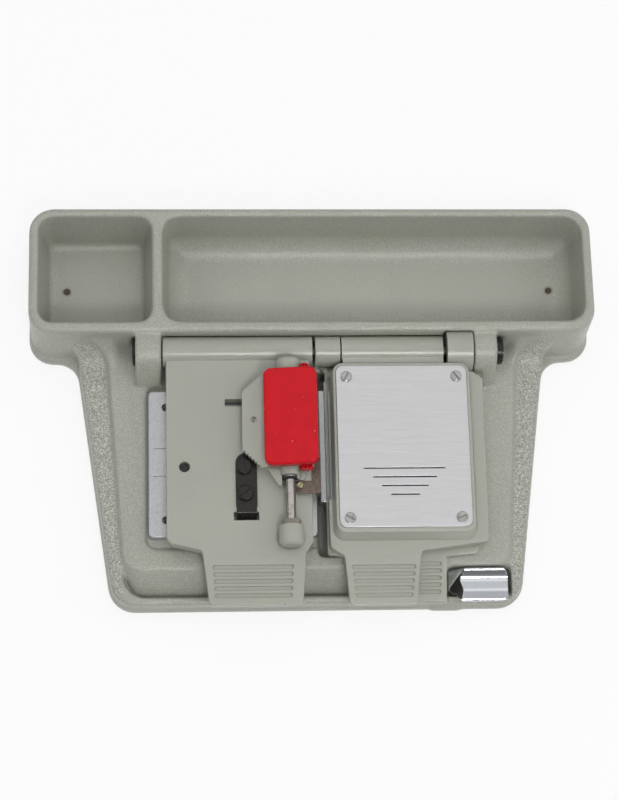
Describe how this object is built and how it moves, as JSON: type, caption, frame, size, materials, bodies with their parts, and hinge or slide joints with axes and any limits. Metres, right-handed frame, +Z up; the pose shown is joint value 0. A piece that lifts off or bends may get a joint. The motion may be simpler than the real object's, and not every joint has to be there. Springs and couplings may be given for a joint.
{
  "type": "film splicer",
  "caption": "Table-top film splicer: painted cast base with a divided tray, two hinged splicing halves, a sliding scraper with a red cover, and a chrome latch lever.",
  "frame": {"origin": "on the table, in the middle of the outline", "axes": "+X to the right end of the tray as the user sees it, +Y to the tray at the rear, +Z up"},
  "size_m": [0.2004, 0.1424, 0.0364],
  "materials": {
    "paint": "hammered enamel",
    "lid_paint": "satin enamel",
    "rubber": "matt",
    "steel": "turned",
    "black_steel": "black oxide",
    "bed_steel": "ground",
    "collar": "worn brown",
    "red_plastic": "glossy",
    "blade_steel": "brown tempered",
    "brass": "plain",
    "plate_metal": "brushed",
    "chrome": "polished"
  },
  "bodies": {
    "base": {"base_casting": "paint", "rubber_feet": "rubber", "foot_screws": "steel", "hinge_shaft": "steel", "hinge_screw_left": "black_steel", "hinge_screw_right": "black_steel", "left_film_bed": "bed_steel", "left_bed_screws": "steel", "left_film_pins": "steel", "latch_pivot_pin": "steel"},
    "left_lid_body": {"left_lid": "lid_paint", "film_leaf_spring": "black_steel", "leaf_spring_screws": "steel", "left_pressure_pad": "bed_steel", "pad_adjusting_screw": "steel", "guide_rod": "steel", "stop_collar": "collar"},
    "bush_body": {"guide_bush": "black_steel", "bush_wiper_ring": "rubber"},
    "scraper_body": {"carriage_body": "lid_paint", "carriage_adjusting_screw": "steel", "scraper_cover": "red_plastic", "scraper_blade": "blade_steel", "blade_screw": "brass"},
    "spindle_body": {"scraper_spindle": "red_plastic"},
    "lower_arm_body": {"lower_arm": "lid_paint", "right_film_bed": "bed_steel", "right_bed_screws": "steel", "right_film_pins": "steel", "shear_blade": "bed_steel", "shear_blade_screws": "steel"},
    "upper_lid_body": {"upper_lid": "lid_paint", "plate": "plate_metal", "plate_screws": "steel", "right_pressure_pad": "bed_steel", "pressure_leaf": "bed_steel"},
    "latch_body": {"latch_lever": "chrome"}
  },
  "joints": [
    {"name": "left_lid_hinge", "type": "hinge", "parent": "base", "child": "left_lid_body", "pos_m": [-0.0269, 0.01944, 0.0202], "axis": [-1, 0, 0], "range_deg": [0, 65]},
    {"name": "scraper_slide", "type": "slide", "parent": "left_lid_body", "child": "bush_body", "axis": [0, -1, 0], "range_m": [0, 0.009]},
    {"name": "scraper_rock", "type": "hinge", "parent": "bush_body", "child": "scraper_body", "pos_m": [-0.0096, -0.01086, 0.0274], "axis": [0, 1, 0], "range_deg": [0, 8], "stiffness_Nm_per_rad": 0.02, "springref_deg": -8.59},
    {"name": "spindle_spin", "type": "hinge", "parent": "scraper_body", "child": "spindle_body", "pos_m": [-0.00409, -0.00722, 0.02989], "axis": [0, 1, 0], "continuous": true},
    {"name": "lower_arm_hinge", "type": "hinge", "parent": "base", "child": "lower_arm_body", "pos_m": [0.028, 0.01944, 0.0202], "axis": [-1, 0, 0], "range_deg": [0, 30]},
    {"name": "upper_lid_hinge", "type": "hinge", "parent": "lower_arm_body", "child": "upper_lid_body", "pos_m": [0.0274, 0.01944, 0.0202], "axis": [-1, 0, 0], "range_deg": [0, 40]},
    {"name": "latch_lever_tilt", "type": "hinge", "parent": "base", "child": "latch_body", "pos_m": [0.0565, -0.06187, 0.008], "axis": [0, 1, 0], "range_deg": [0, 6]}
  ]
}
